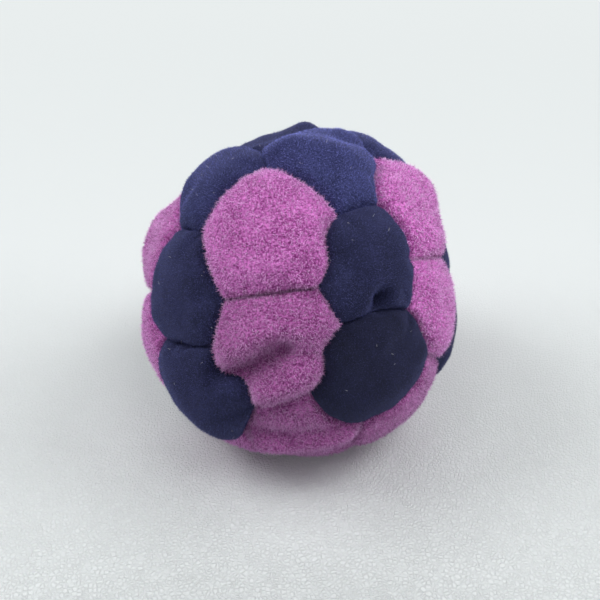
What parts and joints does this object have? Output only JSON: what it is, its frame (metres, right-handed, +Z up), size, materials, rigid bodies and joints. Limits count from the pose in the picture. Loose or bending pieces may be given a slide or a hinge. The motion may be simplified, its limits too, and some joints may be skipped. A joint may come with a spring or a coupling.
{
  "type": "footbag",
  "caption": "Small stuffed kicking ball sewn from pentagon and hexagon suede panels in two colours, with a loose pellet filling.",
  "frame": {"origin": "on the ground, under the middle of the ball's box", "axes": "+Z up from the ground the ball lies on, -Y towards the viewer, +X to the viewer's right"},
  "size_m": [0.0585, 0.0613, 0.059],
  "materials": {
    "pink_suede": "fuzzy melange suede",
    "navy_suede": "fine microfibre suede",
    "seam_thread": "bonded polyester thread",
    "filling_pellets": "loose plastic pellets"
  },
  "bodies": {
    "root": {"pink_pentagon_01": "pink_suede", "navy_hexagon_02": "navy_suede", "navy_hexagon_03": "navy_suede", "navy_hexagon_04": "navy_suede", "pink_hexagon_05": "pink_suede", "navy_hexagon_06": "navy_suede", "pink_pentagon_07": "pink_suede", "navy_pentagon_08": "navy_suede", "pink_pentagon_09": "pink_suede", "navy_pentagon_10": "navy_suede", "navy_pentagon_11": "navy_suede", "navy_hexagon_12": "navy_suede", "navy_hexagon_13": "navy_suede", "pink_hexagon_14": "pink_suede", "pink_hexagon_15": "pink_suede", "pink_hexagon_16": "pink_suede", "navy_hexagon_17": "navy_suede", "navy_hexagon_18": "navy_suede", "navy_hexagon_19": "navy_suede", "pink_hexagon_20": "pink_suede", "pink_hexagon_21": "pink_suede", "pink_pentagon_22": "pink_suede", "pink_pentagon_23": "pink_suede", "navy_pentagon_24": "navy_suede", "pink_pentagon_25": "pink_suede", "navy_pentagon_26": "navy_suede", "pink_hexagon_27": "pink_suede", "navy_hexagon_28": "navy_suede", "pink_hexagon_29": "pink_suede", "pink_hexagon_30": "pink_suede", "pink_hexagon_31": "pink_suede", "navy_pentagon_32": "navy_suede", "seam_thread_01": "seam_thread", "seam_thread_07": "seam_thread", "seam_thread_08": "seam_thread", "seam_thread_09": "seam_thread", "seam_thread_10": "seam_thread", "seam_thread_11": "seam_thread", "seam_thread_22": "seam_thread", "seam_thread_23": "seam_thread", "seam_thread_24": "seam_thread", "seam_thread_25": "seam_thread", "seam_thread_26": "seam_thread", "seam_thread_32": "seam_thread", "filling": "filling_pellets"}
  },
  "joints": []
}
